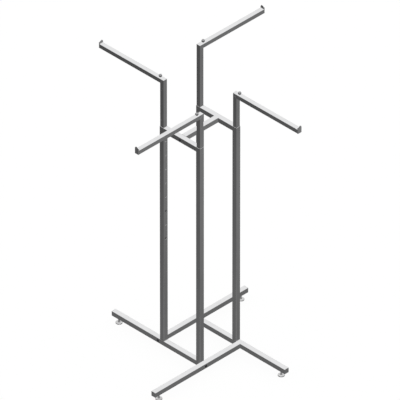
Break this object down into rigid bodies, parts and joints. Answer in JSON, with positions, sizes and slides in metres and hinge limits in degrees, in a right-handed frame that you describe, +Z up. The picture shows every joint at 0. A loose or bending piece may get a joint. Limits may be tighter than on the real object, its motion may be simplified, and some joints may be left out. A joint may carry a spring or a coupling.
{
  "type": "four way clothing rack",
  "caption": "Floor-standing chrome garment rack: square tube pinwheel base, tied uprights and straight arms that telescope to separate heights on snap buttons.",
  "frame": {"origin": "on the floor, at the middle of the rack, under its overall box", "axes": "+Z up along the uprights; -X, +Y, +X and -Y along the west, north, east and south arms"},
  "size_m": [1.027, 1.027, 1.5776],
  "materials": {
    "frame_chrome": "satin chrome plate on 1 inch square steel tube",
    "arm_chrome": "bright chrome plate on 7/8 inch square steel tube",
    "trim_chrome": "chrome plated steel stops and caps",
    "button_steel": "blackened turned steel",
    "spring_steel": "blued spring steel",
    "ball_steel": "polished dark steel ball",
    "stud_steel": "phosphated thread",
    "nut_zinc": "zinc plate",
    "pad_nickel": "satin nickel plate",
    "bolt_black": "black oxide"
  },
  "bodies": {
    "root": {"leg_west": "frame_chrome", "leg_end_cap_west": "trim_chrome", "upright_west": "frame_chrome", "bolt_leg_west": "bolt_black", "end_nut_leg_west": "nut_zinc", "leg_north": "frame_chrome", "leg_end_cap_north": "trim_chrome", "upright_north": "frame_chrome", "bolt_leg_north": "bolt_black", "end_nut_leg_north": "nut_zinc", "leg_east": "frame_chrome", "leg_end_cap_east": "trim_chrome", "upright_east": "frame_chrome", "bolt_leg_east": "bolt_black", "end_nut_leg_east": "nut_zinc", "leg_south": "frame_chrome", "leg_end_cap_south": "trim_chrome", "upright_south": "frame_chrome", "bolt_leg_south": "bolt_black", "end_nut_leg_south": "nut_zinc", "crossbar_front": "frame_chrome", "crossbar_back": "frame_chrome", "crossbar_centre": "frame_chrome", "bolt_crossbar_front": "bolt_black", "end_nut_crossbar_front": "nut_zinc", "bolt_crossbar_back": "bolt_black", "end_nut_crossbar_back": "nut_zinc"},
    "sliding_arm_west": {"inner_post_west": "arm_chrome", "arm_west": "arm_chrome", "arm_end_stop_west": "trim_chrome", "hanger_stop_west": "ball_steel", "button_spring_west": "spring_steel"},
    "button_west": {"snap_button_west": "button_steel"},
    "glide_west": {"glide_pad_west": "pad_nickel"},
    "screw_west": {"glide_stud_west": "stud_steel"},
    "sliding_arm_north": {"inner_post_north": "arm_chrome", "arm_north": "arm_chrome", "arm_end_stop_north": "trim_chrome", "hanger_stop_north": "ball_steel", "button_spring_north": "spring_steel"},
    "button_north": {"snap_button_north": "button_steel"},
    "glide_north": {"glide_pad_north": "pad_nickel"},
    "screw_north": {"glide_stud_north": "stud_steel"},
    "sliding_arm_east": {"inner_post_east": "arm_chrome", "arm_east": "arm_chrome", "arm_end_stop_east": "trim_chrome", "hanger_stop_east": "ball_steel", "button_spring_east": "spring_steel"},
    "button_east": {"snap_button_east": "button_steel"},
    "glide_east": {"glide_pad_east": "pad_nickel"},
    "screw_east": {"glide_stud_east": "stud_steel"},
    "sliding_arm_south": {"inner_post_south": "arm_chrome", "arm_south": "arm_chrome", "arm_end_stop_south": "trim_chrome", "hanger_stop_south": "ball_steel", "button_spring_south": "spring_steel"},
    "button_south": {"snap_button_south": "button_steel"},
    "glide_south": {"glide_pad_south": "pad_nickel"},
    "screw_south": {"glide_stud_south": "stud_steel"}
  },
  "joints": [
    {"name": "arm_height_west", "type": "slide", "parent": "root", "child": "sliding_arm_west", "axis": [0, 0, 1], "range_m": [-0.1524, 0.3048]},
    {"name": "button_press_west", "type": "slide", "parent": "sliding_arm_west", "child": "button_west", "axis": [-1, 0, 0], "range_m": [0, 0.0046], "stiffness_N_per_m": 1500, "springref_m": -0.003, "deforming": ["button_spring_west"]},
    {"name": "glide_level_west", "type": "slide", "parent": "root", "child": "glide_west", "axis": [0, 0, 1], "range_m": [0, 0.012]},
    {"name": "glide_turn_west", "type": "hinge", "parent": "glide_west", "child": "screw_west", "pos_m": [-0.402, -0.11505, 0], "axis": [0, 0, 1], "range_deg": [0, 3061.42]},
    {"name": "arm_height_north", "type": "slide", "parent": "root", "child": "sliding_arm_north", "axis": [0, 0, 1], "range_m": [-0.2286, 0.2286]},
    {"name": "button_press_north", "type": "slide", "parent": "sliding_arm_north", "child": "button_north", "axis": [0, 1, 0], "range_m": [0, 0.0046], "stiffness_N_per_m": 1500, "springref_m": -0.003, "deforming": ["button_spring_north"]},
    {"name": "glide_level_north", "type": "slide", "parent": "root", "child": "glide_north", "axis": [0, 0, 1], "range_m": [0, 0.012]},
    {"name": "glide_turn_north", "type": "hinge", "parent": "glide_north", "child": "screw_north", "pos_m": [-0.14045, 0.402, 0], "axis": [0, 0, 1], "range_deg": [0, 3061.42]},
    {"name": "arm_height_east", "type": "slide", "parent": "root", "child": "sliding_arm_east", "axis": [0, 0, 1], "range_m": [-0.0762, 0.381]},
    {"name": "button_press_east", "type": "slide", "parent": "sliding_arm_east", "child": "button_east", "axis": [1, 0, 0], "range_m": [0, 0.0046], "stiffness_N_per_m": 1500, "springref_m": -0.003, "deforming": ["button_spring_east"]},
    {"name": "glide_level_east", "type": "slide", "parent": "root", "child": "glide_east", "axis": [0, 0, 1], "range_m": [0, 0.012]},
    {"name": "glide_turn_east", "type": "hinge", "parent": "glide_east", "child": "screw_east", "pos_m": [0.402, 0.11505, 0], "axis": [0, 0, 1], "range_deg": [0, 3061.42]},
    {"name": "arm_height_south", "type": "slide", "parent": "root", "child": "sliding_arm_south", "axis": [0, 0, 1], "range_m": [-0.0762, 0.381]},
    {"name": "button_press_south", "type": "slide", "parent": "sliding_arm_south", "child": "button_south", "axis": [0, -1, 0], "range_m": [0, 0.0046], "stiffness_N_per_m": 1500, "springref_m": -0.003, "deforming": ["button_spring_south"]},
    {"name": "glide_level_south", "type": "slide", "parent": "root", "child": "glide_south", "axis": [0, 0, 1], "range_m": [0, 0.012]},
    {"name": "glide_turn_south", "type": "hinge", "parent": "glide_south", "child": "screw_south", "pos_m": [0.14045, -0.402, 0], "axis": [0, 0, 1], "range_deg": [0, 3061.42]}
  ],
  "couplings": [
    {"joint": "glide_turn_west", "follows": "glide_level_west", "rad_per_m": 4452.7},
    {"joint": "glide_turn_north", "follows": "glide_level_north", "rad_per_m": 4452.7},
    {"joint": "glide_turn_east", "follows": "glide_level_east", "rad_per_m": 4452.7},
    {"joint": "glide_turn_south", "follows": "glide_level_south", "rad_per_m": 4452.7}
  ]
}
